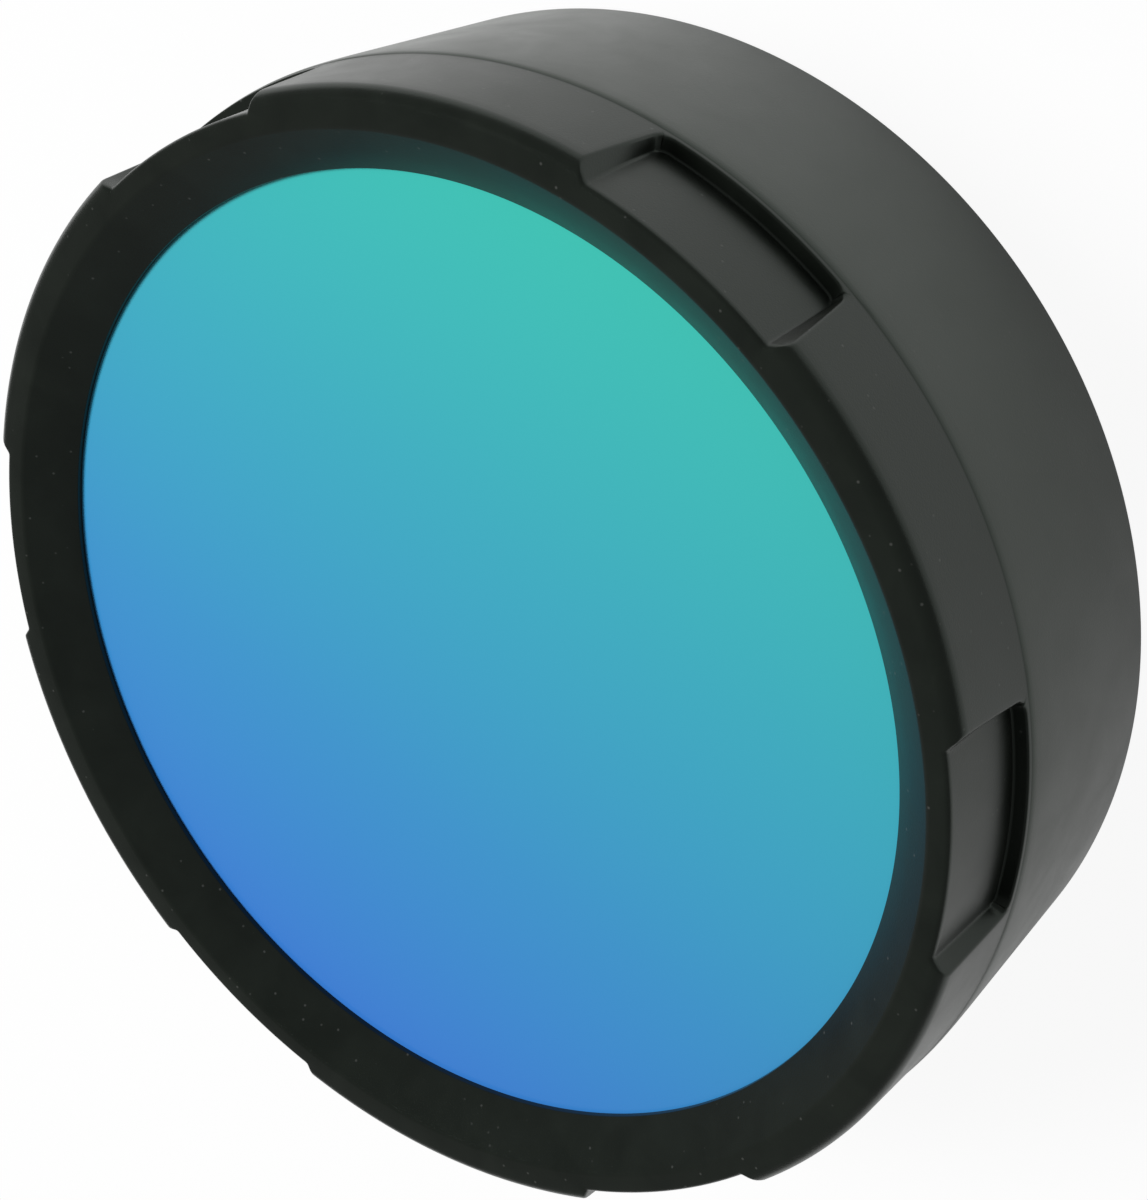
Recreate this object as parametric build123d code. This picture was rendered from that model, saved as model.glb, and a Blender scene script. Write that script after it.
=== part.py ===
from build123d import *
import os
from math import radians, tan

# Slip-on colour filter for a round flashlight head.
# A moulded sleeve carries a coloured glass disc behind a conical bezel, and a stiff
# ring snaps in behind the glass and stops the head short of it.
# The frame has its origin at the centre of the rear rim, with +Z out of the front.
# Sizes are in millimetres and angles in degrees.

# Head that the sleeve slips over
head_d = 63.0
grip_squeeze = 0.2  # radial stretch of the relaxed bore over the head
socket_depth = 15.6  # rear rim to the stop ring

# Sleeve walls outside the socket
rim_wall = 2.0
skirt_draft = 3.2
rim_bevel = 0.5
mouth_flare = 0.45
mouth_lead = 0.7

# Front band, ahead of the mould's parting line
band_length = 7.0
band_draft = 0.8
parting_step = 0.15
lip_round = 0.9

# Bezel in front of the glass
bezel_rise = 2.1
bezel_width = 2.7
bezel_land = 0.35
crest_round = 0.5

# Finger pockets round the lip
pocket_count = 6
pocket_floor_width = 12.2  # chord along the pocket's floor
pocket_depth = 0.9  # at the pocket's rear end
pocket_margin = 0.3  # pocket's rear wall to the parting line
pocket_rear_flank = 20.0  # lean of the end walls out from a plane square to the floor
pocket_front_flank = 54.0  # the same at the front face, so that the walls fan out
pocket_draft = 1.0
pocket_corner = 0.8  # end walls into the rear wall
pocket_brow = 0.3  # bevel where the floor runs out over the front face

# Glass disc
glass_t = 2.0
glass_lap = 1.8  # glass held behind the bezel, radially
glass_clearance = 0.1
glass_bevel = 0.2

# Stop ring and the snap bead that holds it
bead_height = 0.4  # bead standing in from the socket's wall
bead_lead = 0.45
bead_land = 0.3
groove_depth = 0.7  # cut out behind the bead
groove_play = 0.1
ring_flange_t = 1.4
ring_clearance = 0.1
ring_setback = 0.4  # ring's opening outside the bezel's, so that it casts no shadow
ring_chamfer = 0.3

# Radii that follow
socket_r = head_d / 2 - grip_squeeze
bead_r = socket_r - bead_height
groove_r = bead_r + groove_depth
glass_r = bead_r - glass_clearance
opening_r = glass_r - glass_lap
crest_r = opening_r + bezel_width
rear_r = socket_r + rim_wall

# Heights that follow
bead_z = socket_depth + bead_lead
flange_z = bead_z + bead_land
glass_z = flange_z + ring_flange_t
seat_z = glass_z + glass_t
opening_z = seat_z + bezel_land
front_z = opening_z + bezel_rise
parting_z = front_z - band_length

# Outside of the sleeve, which drafts both ways from the parting line
parting_r = rear_r + parting_z * tan(radians(skirt_draft))
band_r = parting_r - parting_step
lip_r = band_r - band_length * tan(radians(band_draft))

# Pockets, which run from just ahead of the parting line out through the lip
pocket_z = parting_z + pocket_margin
pocket_floor_r = band_r - pocket_depth
pocket_reach = 2 * pocket_depth
brow_z = front_z - pocket_brow
brow_r = pocket_floor_r - (brow_z - pocket_z) * tan(radians(pocket_draft))


def rounded_face(corners):
    """Make a face in the XZ plane from (r, z, round) corners, in order."""
    outline = Polyline(*[(r, z) for r, z, _ in corners], close=True)
    face = make_face(outline)
    for r, z, size in corners:
        if size:
            corner = face.vertices().sort_by_distance((r, z, 0))[0]
            face = fillet(corner, size)
    return Plane.XZ * face


def sleeve_blank():
    """Turn the whole sleeve, still without its pockets."""
    outside = [
        (rear_r - rim_bevel, 0, 0),
        (rear_r + rim_bevel * tan(radians(skirt_draft)), rim_bevel, 0),
        (parting_r, parting_z, 0),
        (band_r, parting_z, 0),
        (lip_r, front_z, lip_round),
        (crest_r, front_z, crest_round),
        (opening_r, opening_z, 0),
    ]
    glass_seat = [
        (opening_r, seat_z, 0),
        (bead_r, seat_z, 0),
        (bead_r, glass_z + groove_play, 0),
    ]
    snap_groove = [
        (groove_r, glass_z + groove_play, 0),
        (groove_r, flange_z, 0),
        (bead_r, flange_z, 0),
        (bead_r, bead_z, 0),
    ]
    socket = [
        (socket_r, socket_depth, 0),
        (socket_r, mouth_lead, 0),
        (socket_r + mouth_flare, 0, 0),
    ]
    return revolve(rounded_face(outside + glass_seat + snap_groove + socket), Axis.Z)


def pocket_section(height, floor_r, flank):
    """Draw the pocket across the axis at +X: a curved floor between leaning end walls."""
    half_width = pocket_floor_width / 2
    edge_x = (floor_r ** 2 - half_width ** 2) ** 0.5
    mouth_x = edge_x + pocket_reach
    mouth_half = half_width + pocket_reach * tan(radians(flank))
    floor = RadiusArc((edge_x, half_width), (edge_x, -half_width), floor_r)
    sides = Polyline(
        (edge_x, -half_width),
        (mouth_x, -mouth_half),
        (mouth_x, mouth_half),
        (edge_x, half_width),
    )
    return Plane.XY.offset(height) * make_face([floor, sides])


def pocket_cutter():
    """Loft one pocket's cutter: the end walls fan out, and the floor turns in at the brow."""
    rear = pocket_section(pocket_z, pocket_floor_r, pocket_rear_flank)
    front = pocket_section(brow_z, brow_r, pocket_front_flank)
    run_out = pocket_section(front_z + pocket_brow, brow_r - 2 * pocket_brow, pocket_front_flank)
    well = loft([rear, front], ruled=True)
    corners = well.faces().sort_by(Axis.Z)[0].edges().sort_by(Axis.X)[1:3]
    return fillet(corners, pocket_corner) + loft([front, run_out], ruled=True)


def sleeve():
    """Cut the ring of pockets out of the blank."""
    return sleeve_blank() - PolarLocations(0, pocket_count) * pocket_cutter()


def filter_glass():
    """Make the coloured disc with its ground bevels."""
    disc = Pos(0, 0, glass_z) * Cylinder(glass_r, glass_t, align=(Align.CENTER, Align.CENTER, Align.MIN))
    return chamfer(disc.edges().filter_by(GeomType.CIRCLE), glass_bevel)


def stop_ring():
    """Turn the stepped ring: a flange behind the bead, and a hub flush with the stop."""
    flange_r = groove_r - ring_clearance
    hub_r = bead_r - ring_clearance
    inner_r = opening_r + ring_setback
    outline = Polyline(
        (inner_r, glass_z),
        (flange_r - ring_chamfer, glass_z),
        (flange_r, glass_z - ring_chamfer),
        (flange_r, flange_z),
        (hub_r, flange_z),
        (hub_r, socket_depth),
        (inner_r + ring_chamfer, socket_depth),
        (inner_r, socket_depth + ring_chamfer),
        close=True,
    )
    return revolve(Plane.XZ * make_face(outline), Axis.Z)


if __name__ == "__main__":
    os.makedirs("parts", exist_ok=True)
    export_step(sleeve(), "parts/sleeve.step")
    export_step(filter_glass(), "parts/filter_glass.step")
    export_step(stop_ring(), "parts/stop_ring.step")
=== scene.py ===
import bpy
import bmesh
from math import radians, degrees, atan2, sin, cos
from mathutils import Vector, Matrix
from mathutils.geometry import intersect_line_sphere_2d


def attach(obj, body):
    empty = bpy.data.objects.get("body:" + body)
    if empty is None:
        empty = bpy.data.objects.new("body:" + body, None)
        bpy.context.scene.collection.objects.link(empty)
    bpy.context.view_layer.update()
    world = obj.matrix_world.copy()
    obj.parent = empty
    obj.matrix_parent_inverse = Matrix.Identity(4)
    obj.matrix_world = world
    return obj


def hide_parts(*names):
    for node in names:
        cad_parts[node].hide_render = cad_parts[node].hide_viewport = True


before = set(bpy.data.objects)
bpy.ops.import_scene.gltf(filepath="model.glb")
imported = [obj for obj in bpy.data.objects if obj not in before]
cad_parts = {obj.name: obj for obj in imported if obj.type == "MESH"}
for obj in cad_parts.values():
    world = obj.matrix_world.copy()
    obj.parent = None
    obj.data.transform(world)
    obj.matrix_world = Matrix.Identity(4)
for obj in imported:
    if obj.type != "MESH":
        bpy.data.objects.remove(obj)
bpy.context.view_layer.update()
mm = 0.001
weldGap = 0.0004 * mm
slack = 0.01            # mm, for telling rows and rings apart
scene = bpy.context.scene


# mesh helpers

def drawProfile(bm, corners):
    # corners are (radius, height) or (radius, height, round, segments) in mm
    dots = [bm.verts.new((c[0] * mm, 0, c[1] * mm)) for c in corners]
    for a, b in zip(dots, dots[1:] + dots[:1]):
        bm.edges.new((a, b))
    for dot, corner in zip(dots, corners):
        if len(corner) > 2:
            bmesh.ops.bevel(bm, geom=[dot], offset=corner[2] * mm, offset_type="OFFSET",
                            segments=corner[3], profile=0.5, material=-1, affect="VERTICES")


def turnProfile(bm, angle, steps, closed):
    bmesh.ops.spin(bm, geom=bm.verts[:] + bm.edges[:], cent=(0, 0, 0), axis=(0, 0, 1),
                   angle=radians(angle), steps=steps, use_merge=closed)


def everything(bm):
    return bm.verts[:] + bm.edges[:] + bm.faces[:]


def clamp(value):
    return min(max(value, 0), 1)


def finishPiece(bm, name, body, node, sharpAngle=40):
    bmesh.ops.remove_doubles(bm, verts=bm.verts[:], dist=weldGap)
    bmesh.ops.recalc_face_normals(bm, faces=bm.faces[:])
    for face in bm.faces:
        face.smooth = True
    for edge in bm.edges:
        joined = len(edge.link_faces) == 2
        edge.smooth = joined and edge.calc_face_angle(0) < radians(sharpAngle)
    mesh = bpy.data.meshes.new(name)
    bm.to_mesh(mesh)
    bm.free()
    piece = bpy.data.objects.new(name, mesh)
    scene.collection.objects.link(piece)
    weighted = piece.modifiers.new("weightedNormals", "WEIGHTED_NORMAL")
    weighted.keep_sharp = True
    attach(piece, body)
    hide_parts(node)
    print(name, len(mesh.polygons), "faces")
    return piece


# sleeve: half a bay is turned and its finger pocket formed, then it is mirrored and repeated

sleeveSize = {
    "bays": 6,
    "partingHeight": 15.2,
    "partingRound": 0.03,
    "bandRadius": 34.0,
    "bandDraft": 0.01396,    # inward run of the band per mm
    "bandRows": [15.85, 16.05, 16.3, 16.8, 17.6, 18.4, 19.2, 20.0, 20.7],
    "frontHeight": 22.2,
    "frontRadius": 33.0,     # where the lip's round meets the flat front
    "pocketRear": 15.5,
    "floorHalfWidth": 6.1,
    "floorRadiusRear": 33.1,
    "floorDraft": 0.0175,    # inward run of the pocket's floor per mm
    "rearFan": 0.364,        # sideways run of the end walls per mm outwards, at the pocket's rear
    "frontFan": 1.376,       # the same at fanTop
    "fanTop": 21.9,
    "brow": 0.3,
    "edgeRound": 0.15,
    "roundSteps": 4,
    "cornerRound": 0.8,
    "cornerTurn": 10.75,     # degrees from the pocket's middle to its rear corner
    "cornerRadius": 33.6,    # where the corner's round is measured
    "floorSteps": 24,
    "landSteps": 38,
}


def edgeSteps(s):
    # a wall's round at its top, the flat between, and the round at its foot
    return 2 * s["roundSteps"] + 1


def columnCount(s):
    return s["floorSteps"] + edgeSteps(s) + s["landSteps"]


def sleeveCorners(s):
    parting = s["partingHeight"]
    steps = edgeSteps(s)
    lowest = s["pocketRear"] - s["edgeRound"]
    rearRows = [lowest + i * 2 * s["edgeRound"] / steps for i in range(steps + 1)]
    band = [(s["bandRadius"] - (height - parting) * s["bandDraft"], height)
            for height in rearRows + s["bandRows"]]
    outside = [(33.3, 0.0, 0.3, 5), (33.66, 6.5), (34.0, 12.6), (34.065, 14.0), (34.085, 14.7),
               (34.078, 14.95), (34.045, 15.1), (s["bandRadius"], parting, s["partingRound"], 2)]
    front = [(33.902, s["frontHeight"], 0.9, 8), (32.3, s["frontHeight"]),
             (31.7, s["frontHeight"], 0.17, 5), (30.3, 21.111), (29.0, 20.1, 0.05, 3)]
    inside = [(29.0, 19.75), (30.9, 19.75), (30.9, 17.85), (31.6, 17.85), (31.6, 16.35),
              (30.9, 16.35, 0.05, 2), (30.9, 16.05, 0.08, 3), (31.3, 15.6),
              (31.3, 8.0), (31.3, 0.7), (31.75, 0.0, 0.12, 3)]
    return outside + band + front + inside


def bend(a, b, c, t):
    # a quadratic curve from a to c that is drawn towards b
    return a * (1 - t) ** 2 + b * 2 * t * (1 - t) + c * t * t


def bendRow(a, b, c, steps):
    return [bend(a, b, c, i / steps) for i in range(steps + 1)]


def floorRadius(s, height):
    radius = s["floorRadiusRear"] - (height - s["pocketRear"]) * s["floorDraft"]
    over = height - (s["frontHeight"] - s["brow"])
    if over > 0:
        radius += (max(s["brow"] ** 2 - over ** 2, 0)) ** 0.5 - s["brow"]
    return radius


def endWall(s, height, outer):
    # the pocket's end wall across the axis, from its floor out to the lip, as (x, y) points
    floor = floorRadius(s, height)
    half = s["floorHalfWidth"]
    share = clamp((height - s["pocketRear"]) / (s["fanTop"] - s["pocketRear"]))
    rise = Vector((1, s["rearFan"] + share * (s["frontFan"] - s["rearFan"]))).normalized()
    foot = Vector(((floor ** 2 - half ** 2) ** 0.5, half))
    hits = intersect_line_sphere_2d(foot, foot + rise * outer, Vector((0, 0)), outer)
    top = [p for p in hits if p is not None and (p - foot).dot(rise) > 0][0]
    size = min(s["edgeRound"], (top - foot).length / 2)
    along = Vector((foot.y, -foot.x)).normalized()
    away = Vector((-top.y, top.x)).normalized()
    footRound = bendRow(foot + along * size, foot, foot + rise * size, s["roundSteps"])
    topRound = bendRow(top - rise * size, top, top + away * size, s["roundSteps"])
    return footRound + topRound, floor


def rearWall(s, row, floor, outer):
    # the pocket's rear wall stands square to the floor; this is its (radius, height) at a row
    rear, size, steps = s["pocketRear"], s["edgeRound"], s["roundSteps"]
    if row <= steps:
        return bend(Vector((outer, rear - size)), Vector((outer, rear)),
                    Vector((outer - size, rear)), row / steps)
    return bend(Vector((floor + size, rear)), Vector((floor, rear)),
                Vector((floor, rear + size)), (row - steps - 1) / steps)


def roundCorner(s, turn, height):
    # the rear corners are rounded in plan: squares round the corner's centre become circles
    size, radius = s["cornerRound"], s["cornerRadius"]
    centreSide = radians(s["cornerTurn"]) * radius - size
    side = radians(turn) * radius - centreSide
    down = s["pocketRear"] + size - height
    if side <= 0 or down <= 0:
        return turn, height
    square = max(side, down)
    reach = size + s["pocketRear"] - s["partingHeight"]
    fade = clamp((reach - square) / (reach - size))
    pull = 1 + (square / Vector((side, down)).length - 1) * fade
    return degrees((centreSide + side * pull) / radius), s["pocketRear"] + size - down * pull


def placeVertex(s, column, radius, height):
    halfBay, columns = 180 / s["bays"], columnCount(s)
    wall, floor = endWall(s, height, radius)
    angles = [degrees(atan2(p.y, p.x)) for p in wall]
    # across: the floor, then the end wall, then the land between two pockets
    if column <= s["floorSteps"]:
        turn, sideRadius = angles[0] * column / s["floorSteps"], floor
    elif column <= s["floorSteps"] + edgeSteps(s):
        station = column - s["floorSteps"]
        turn, sideRadius = angles[station], wall[station].length
    else:
        turn = halfBay - (halfBay - angles[-1]) * (columns - column) / s["landSteps"]
        sideRadius = radius
    # along: rows behind the pocket stay, then come the rear wall's rows and the floor's
    firstRow = s["pocketRear"] - s["edgeRound"]
    rowStep = 2 * s["edgeRound"] / edgeSteps(s)
    rearRadius = floor
    if height < firstRow - slack:
        rearRadius = radius
    elif height < s["pocketRear"] + s["edgeRound"] + slack:
        point = rearWall(s, round((height - firstRow) / rowStep), floor, radius)
        raised = clamp((sideRadius - floor) / (radius - floor))
        rearRadius, height = point.x, point.y + (height - point.y) * raised
    turn, height = roundCorner(s, turn, height)
    return turn, max(sideRadius, rearRadius), height


def formPocket(s, bm):
    behind = s["partingHeight"] - s["partingRound"] - slack
    for vert in bm.verts:
        radius, height = vert.co.xy.length / mm, vert.co.z / mm
        if radius < s["frontRadius"] - slack or height < behind:
            continue
        share = degrees(atan2(vert.co.y, vert.co.x)) * s["bays"] / 180
        turn, radius, height = placeVertex(s, round(share * columnCount(s)), radius, height)
        a = radians(turn)
        vert.co = Vector((cos(a) * radius, sin(a) * radius, height)) * mm


def buildSleeve(s):
    bm = bmesh.new()
    drawProfile(bm, sleeveCorners(s))
    turnProfile(bm, 180 / s["bays"], columnCount(s), False)
    formPocket(s, bm)
    bmesh.ops.mirror(bm, geom=everything(bm), matrix=Matrix.Identity(4), merge_dist=weldGap,
                     axis="Y")
    bmesh.ops.spin(bm, geom=everything(bm), cent=(0, 0, 0), axis=(0, 0, 1), steps=s["bays"] - 1,
                   angle=radians(360 - 360 / s["bays"]), use_duplicate=True, use_merge=False)
    return finishPiece(bm, "moulded_sleeve", "root", "sleeve")


print("sleeve")
sleeve = buildSleeve(sleeveSize)


# coated glass: it is turned with a small hole, which is filled

glassSize = {
    "radius": 30.8,
    "hole": 0.5,
    "rear": 17.75,
    "front": 19.75,
    "bevel": 0.2,
    "bevelSteps": 2,
    "ringCuts": 6,
    "sharpAngle": 25,
    "steps": 240,
}


def buildGlass(s):
    bm = bmesh.new()
    drawProfile(bm, [(s["hole"], s["rear"]),
                     (s["radius"], s["rear"], s["bevel"], s["bevelSteps"]),
                     (s["radius"], s["front"], s["bevel"], s["bevelSteps"]),
                     (s["hole"], s["front"])])
    inner = [e for e in bm.edges if max(v.co.x for v in e.verts) < (s["hole"] + slack) * mm]
    bmesh.ops.delete(bm, geom=inner, context="EDGES")
    across = [e for e in bm.edges if e.calc_length() > s["radius"] / 2 * mm]
    bmesh.ops.subdivide_edges(bm, edges=across, cuts=s["ringCuts"])
    turnProfile(bm, 360, s["steps"], True)
    bmesh.ops.remove_doubles(bm, verts=bm.verts[:], dist=weldGap)
    bmesh.ops.holes_fill(bm, edges=[e for e in bm.edges if e.is_boundary], sides=0)
    return finishPiece(bm, "coated_glass", "root", "filter_glass",
                       s["sharpAngle"])


print("glass")
glass = buildGlass(glassSize)


# stop ring

ringSize = {
    "inner": 29.4,
    "hub": 30.8,
    "flange": 31.5,
    "rear": 15.6,
    "step": 16.35,
    "front": 17.75,
    "chamfer": 0.3,
    "edge": 0.07,
    "edgeSteps": 2,
    "steps": 240,
}


def buildRing(s):
    bm = bmesh.new()
    edge = (s["edge"], s["edgeSteps"])
    drawProfile(bm, [(s["inner"], s["front"], *edge),
                     (s["flange"] - s["chamfer"], s["front"], *edge),
                     (s["flange"], s["front"] - s["chamfer"], *edge),
                     (s["flange"], s["step"], *edge),
                     (s["hub"], s["step"]),
                     (s["hub"], s["rear"], *edge),
                     (s["inner"] + s["chamfer"], s["rear"], *edge),
                     (s["inner"], s["rear"] + s["chamfer"], *edge)])
    turnProfile(bm, 360, s["steps"], True)
    return finishPiece(bm, "snap_ring", "root", "stop_ring")


print("ring")
ring = buildRing(ringSize)


# material helpers

def newMaterial(name):
    material = bpy.data.materials.new(name)
    material.use_nodes = True
    material.node_tree.nodes.clear()
    return material, material.node_tree


def addNode(tree, kind, inputs=None, **settings):
    node = tree.nodes.new(kind)
    for key, value in settings.items():
        setattr(node, key, value)
    for key, value in (inputs or {}).items():
        if isinstance(value, bpy.types.NodeSocket):
            tree.links.new(value, node.inputs[key])
        else:
            node.inputs[key].default_value = value
    return node


def mapRange(tree, value, toSpan, fromSpan=(0.0, 1.0)):
    node = addNode(tree, "ShaderNodeMapRange", {
        "Value": value, "From Min": fromSpan[0], "From Max": fromSpan[1],
        "To Min": toSpan[0], "To Max": toSpan[1]})
    return node.outputs["Result"]


def mixColour(tree, factor, a, b):
    node = addNode(tree, "ShaderNodeMix", {"Factor": factor, "A": a, "B": b}, data_type="RGBA")
    return node.outputs["Result"]


def calculate(tree, operation, a, b):
    return addNode(tree, "ShaderNodeMath", {0: a, 1: b}, operation=operation).outputs[0]


def objectPlace(tree):
    return addNode(tree, "ShaderNodeTexCoord").outputs["Object"]


def finishMaterial(tree, shader):
    output = addNode(tree, "ShaderNodeOutputMaterial")
    tree.links.new(shader.outputs[0], output.inputs["Surface"])


# spark-eroded mould grain, soft mottling and fine pale specks

grainLook = {
    "scales": {"Grain Scale": 9000.0, "Mottle Scale": 260.0, "Speck Scale": 1500.0},
    "grain": {"Detail": 3.0, "Roughness": 0.6},
    "mottle": {"Detail": 4.0, "Roughness": 0.55, "Distortion": 0.4},
    "speckFade": (0.05, 0.16),    # distance over which a speck fades out
    "speckRarity": 0.8,
}


def makeGrainGroup(look):
    group = bpy.data.node_groups.new("mouldGrain", "ShaderNodeTree")
    for name, scale in look["scales"].items():
        socket = group.interface.new_socket(name, in_out="INPUT", socket_type="NodeSocketFloat")
        socket.default_value = scale
    for name in ("Grain", "Mottle", "Specks"):
        group.interface.new_socket(name, in_out="OUTPUT", socket_type="NodeSocketFloat")
    start = addNode(group, "NodeGroupInput")
    place = objectPlace(group)
    grain = addNode(group, "ShaderNodeTexNoise", {
        "Vector": place, "Scale": start.outputs["Grain Scale"], **look["grain"]})
    mottle = addNode(group, "ShaderNodeTexNoise", {
        "Vector": place, "Scale": start.outputs["Mottle Scale"], **look["mottle"]})
    specks = addNode(group, "ShaderNodeTexVoronoi", {
        "Vector": place, "Scale": start.outputs["Speck Scale"]})
    near = mapRange(group, specks.outputs["Distance"], (1.0, 0.0), look["speckFade"])
    picked = addNode(group, "ShaderNodeSeparateColor", {"Color": specks.outputs["Color"]})
    rare = calculate(group, "GREATER_THAN", picked.outputs["Red"], look["speckRarity"])
    end = addNode(group, "NodeGroupOutput")
    group.links.new(grain.outputs["Fac"], end.inputs["Grain"])
    group.links.new(mottle.outputs["Fac"], end.inputs["Mottle"])
    group.links.new(calculate(group, "MULTIPLY", near, rare), end.inputs["Specks"])
    return group


print("materials")
grainGroup = makeGrainGroup(grainLook)


# sleeve rubber: the skirt is painted paler than the band, the lip and the inside of the pockets;
# this paler colour is painted light, standing in for the light that falls on the skirt's outer
# wall

rubberLook = {
    "bandDark": (0.0053, 0.0068, 0.0053, 1),
    "bandPale": (0.0092, 0.0115, 0.0090, 1),
    # painted light: the skirt's paler colour stands in for the light falling on its outer wall
    "skirtPaintedLight": (0.033, 0.039, 0.033, 1),
    "speck": (0.05, 0.052, 0.048, 1),
    "paintedLightTop": (0.0151, 0.0152),    # height in metres over which the skirt's painted light gives way
    "mottle": (0.3, 0.7),
    "roughness": (0.28, 0.35),
    "bump": {"Strength": 0.25, "Distance": 0.00003},
    "surface": {"IOR": 1.46, "Specular Tint": (0.86, 1.0, 0.89, 1), "Sheen Weight": 0.03,
                "Sheen Roughness": 0.4, "Sheen Tint": (0.97, 1.0, 0.93, 1)},
}


def makeRubber(look):
    material, tree = newMaterial("blackRubber")
    grain = addNode(tree, "ShaderNodeGroup", node_tree=grainGroup)
    tone = mapRange(tree, grain.outputs["Mottle"], (0.0, 1.0), look["mottle"])
    band = mixColour(tree, tone, look["bandDark"], look["bandPale"])
    height = addNode(tree, "ShaderNodeSeparateXYZ", {"Vector": objectPlace(tree)})
    # painted light: everything below the band is mixed towards the skirt's paler colour
    skirtPaintedLight = mapRange(tree, height.outputs["Z"], (1.0, 0.0), look["paintedLightTop"])
    body = mixColour(tree, skirtPaintedLight, band, look["skirtPaintedLight"])
    dusty = mixColour(tree, grain.outputs["Specks"], body, look["speck"])
    rough = mapRange(tree, grain.outputs["Mottle"], look["roughness"], look["mottle"])
    bump = addNode(tree, "ShaderNodeBump", {"Height": grain.outputs["Grain"], **look["bump"]})
    shader = addNode(tree, "ShaderNodeBsdfPrincipled", {
        "Base Color": dusty, "Roughness": rough, "Normal": bump.outputs["Normal"],
        **look["surface"]})
    finishMaterial(tree, shader)
    return material


# coated glass: the coating runs from teal to blue across the disc

coatingLook = {
    "turn": 50.4,      # degrees clockwise, seen from the front, from +X to the teal side
    "width": 0.058,    # metres from the blue side to the teal one
    "stops": [(0.0, (0.040, 0.200, 0.640, 1)), (0.33, (0.041, 0.285, 0.580, 1)),
              (0.67, (0.042, 0.398, 0.510, 1)), (1.0, (0.043, 0.525, 0.438, 1))],
    "mottleScale": 90.0,
    "roughness": (0.2, 0.28),
    "surface": {"IOR": 1.52, "Coat Weight": 0.25, "Coat Roughness": 0.04},
}


def makeCoatedGlass(look):
    material, tree = newMaterial("coatedGlass")
    turned = addNode(tree, "ShaderNodeMapping", {
        "Vector": objectPlace(tree), "Rotation": (0, 0, radians(look["turn"])),
        "Scale": (1 / look["width"],) * 3}, vector_type="POINT")
    split = addNode(tree, "ShaderNodeSeparateXYZ", {"Vector": turned.outputs["Vector"]})
    middle = 0.5    # the disc's centre lies half way along the ramp
    ramp = addNode(tree, "ShaderNodeValToRGB", {
        "Fac": calculate(tree, "ADD", split.outputs["X"], middle)})
    elements = ramp.color_ramp.elements
    ramp.color_ramp.interpolation = "LINEAR"
    for position, colour in look["stops"][1:-1]:
        elements.new(position)
    for element, (position, colour) in zip(elements, look["stops"]):
        element.color = colour
    grain = addNode(tree, "ShaderNodeGroup", {"Mottle Scale": look["mottleScale"]},
                    node_tree=grainGroup)
    shader = addNode(tree, "ShaderNodeBsdfPrincipled", {
        "Base Color": ramp.outputs["Color"],
        "Roughness": mapRange(tree, grain.outputs["Mottle"], look["roughness"]),
        **look["surface"]})
    finishMaterial(tree, shader)
    return material


# ring plastic

plasticLook = {
    "dark": (0.012, 0.012, 0.012, 1),
    "pale": (0.02, 0.02, 0.02, 1),
    "mottleScale": 400.0,
    "roughness": (0.3, 0.42),
    "bump": {"Strength": 0.15, "Distance": 0.00002},
}


def makeRingPlastic(look):
    material, tree = newMaterial("ringPlastic")
    grain = addNode(tree, "ShaderNodeGroup", {"Mottle Scale": look["mottleScale"]},
                    node_tree=grainGroup)
    bump = addNode(tree, "ShaderNodeBump", {"Height": grain.outputs["Grain"], **look["bump"]})
    shader = addNode(tree, "ShaderNodeBsdfPrincipled", {
        "Base Color": mixColour(tree, grain.outputs["Mottle"], look["dark"], look["pale"]),
        "Roughness": mapRange(tree, grain.outputs["Mottle"], look["roughness"]),
        "Normal": bump.outputs["Normal"]})
    finishMaterial(tree, shader)
    return material


sleeve.data.materials.append(makeRubber(rubberLook))
glass.data.materials.append(makeCoatedGlass(coatingLook))
ring.data.materials.append(makeRingPlastic(plasticLook))


# stage, light and camera

stageLook = {
    "size": 3.0,
    "seen": 0.93,        # share of plain white in the floor, for the camera
    "mirrored": 0.5,     # and for reflections
    "paper": 0.8,
    "sky": 0.2,
    "white": (1, 1, 1, 1),
}


def makePaper(look):
    # nearly white to the camera, half white in reflections, and clear from below; it keeps
    # the object's shadow
    material, tree = newMaterial("palePaper")
    rays = addNode(tree, "ShaderNodeLightPath")
    seen = calculate(tree, "MULTIPLY", rays.outputs["Is Camera Ray"], look["seen"])
    bounced = calculate(tree, "MAXIMUM", rays.outputs["Is Glossy Ray"],
                        rays.outputs["Is Transmission Ray"])
    mirrored = calculate(tree, "MULTIPLY", bounced, look["mirrored"])
    paper = addNode(tree, "ShaderNodeBsdfDiffuse", {"Color": (look["paper"],) * 3 + (1,)})
    white = addNode(tree, "ShaderNodeEmission", {"Color": look["white"], "Strength": 1.0})
    above = addNode(tree, "ShaderNodeMixShader", {
        "Fac": calculate(tree, "MAXIMUM", seen, mirrored),
        1: paper.outputs[0], 2: white.outputs[0]})
    side = addNode(tree, "ShaderNodeNewGeometry")
    clear = addNode(tree, "ShaderNodeBsdfTransparent", {"Color": look["white"]})
    finishMaterial(tree, addNode(tree, "ShaderNodeMixShader", {
        "Fac": side.outputs["Backfacing"], 1: above.outputs[0], 2: clear.outputs[0]}))
    return material


def buildFloor(look):
    bm = bmesh.new()
    bmesh.ops.create_grid(bm, x_segments=1, y_segments=1, size=look["size"] / 2)
    mesh = bpy.data.meshes.new("floor")
    bm.to_mesh(mesh)
    bm.free()
    floor = bpy.data.objects.new("floor", mesh)
    scene.collection.objects.link(floor)
    floor.data.materials.append(makePaper(look))


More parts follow.
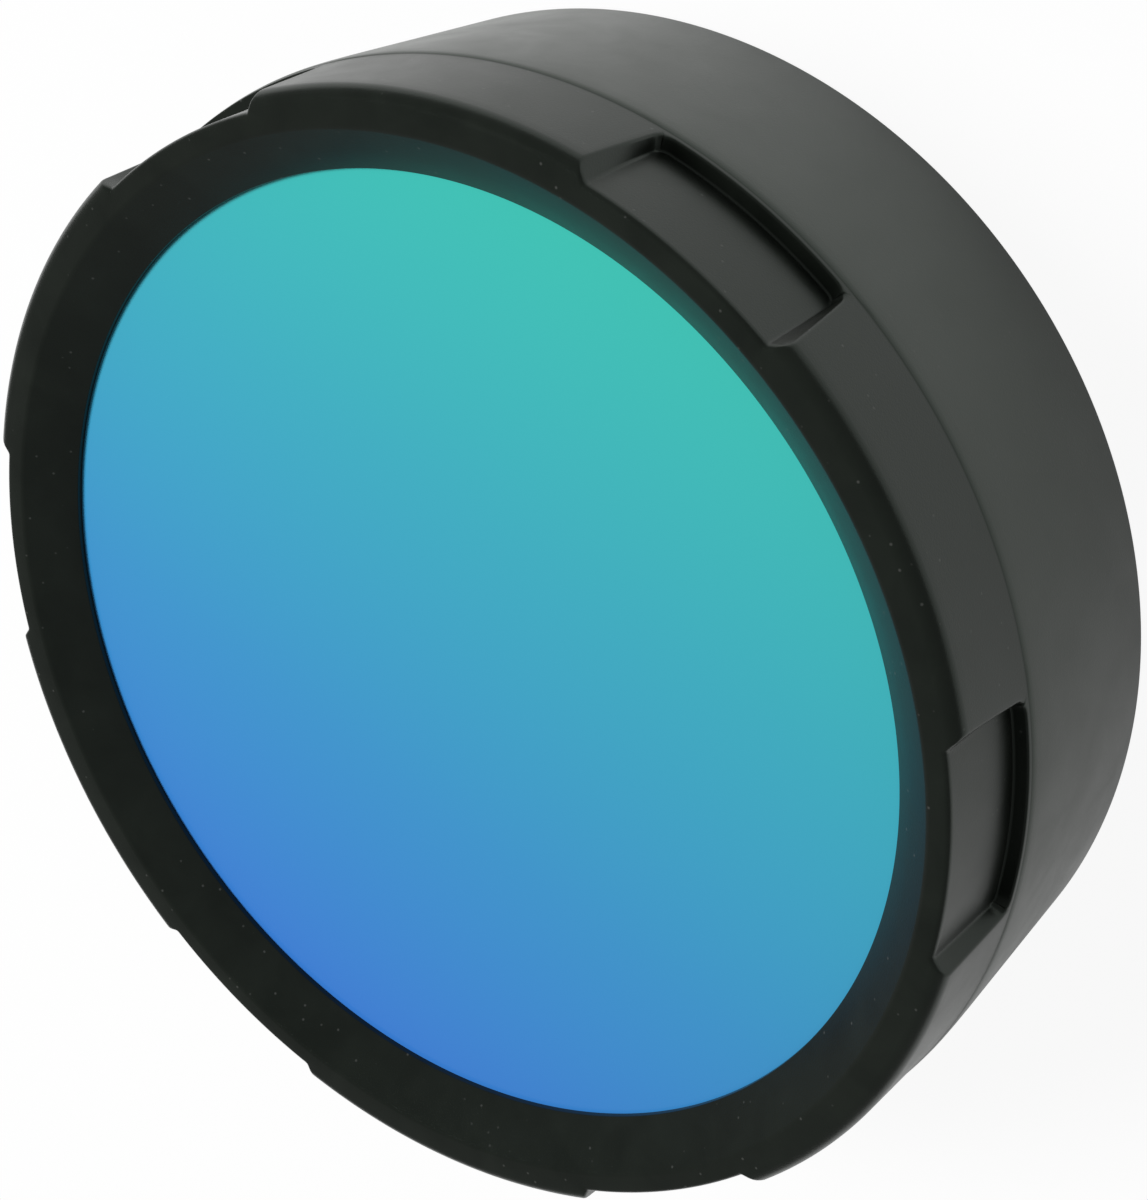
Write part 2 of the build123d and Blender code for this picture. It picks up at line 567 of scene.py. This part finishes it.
def buildSky(look):
    # white behind the part, and a dim fill for everything else
    world = bpy.data.worlds.new("studio")
    scene.world = world
    world.use_nodes = True
    tree = world.node_tree
    tree.nodes.clear()
    rays = addNode(tree, "ShaderNodeLightPath")
    level = mapRange(tree, rays.outputs["Is Camera Ray"], (look["sky"], 1.0))
    sky = addNode(tree, "ShaderNodeBackground", {"Color": look["white"], "Strength": level})
    output = addNode(tree, "ShaderNodeOutputWorld")
    tree.links.new(sky.outputs[0], output.inputs["Surface"])


keyLamp = {
    "azimuth": 40,
    "elevation": 58,
    "distance": 0.7,
    "aim": (0, 0, 0.011),
    "size": 0.3,
    "power": 5.3,
}


def addLamp(name, s):
    # a soft box that looks at the part from the given side and leaves no glare on it
    data = bpy.data.lights.new(name, "AREA")
    data.size = s["size"]
    data.energy = s["power"]
    lamp = bpy.data.objects.new(name, data)
    scene.collection.objects.link(lamp)
    a, e = radians(s["azimuth"]), radians(s["elevation"])
    way = Vector((cos(a) * cos(e), sin(a) * cos(e), sin(e)))
    lamp.location = Vector(s["aim"]) + way * s["distance"]
    lamp.rotation_euler = way.to_track_quat("Z", "Y").to_euler()
    lamp.visible_glossy = False


cameraView = {
    "place": (20.561, -105.861, 123.077),
    "ahead": (-0.13432, 0.67124, -0.72897),
    "up": (0.9001, -0.22504, -0.37307),
    "lens": 78.514,
    "sensor": 36,
    "clipStart": 0.005,
}


def addCamera(s):
    data = bpy.data.cameras.new("camera")
    camera = bpy.data.objects.new("camera", data)
    scene.collection.objects.link(camera)
    back = -Vector(s["ahead"]).normalized()
    up = Vector(s["up"])
    up = (up - back * up.dot(back)).normalized()
    camera.matrix_world = Matrix((up.cross(back), up, back)).transposed().to_4x4()
    camera.location = Vector(s["place"]) * mm
    data.lens = s["lens"]
    data.sensor_width = s["sensor"]
    data.sensor_height = s["sensor"]
    data.sensor_fit = "AUTO"
    data.clip_start = s["clipStart"]
    scene.camera = camera


print("stage, light and camera")
buildFloor(stageLook)
buildSky(stageLook)
addLamp("keyBox", keyLamp)
addCamera(cameraView)
scene.view_settings.view_transform = "Standard"
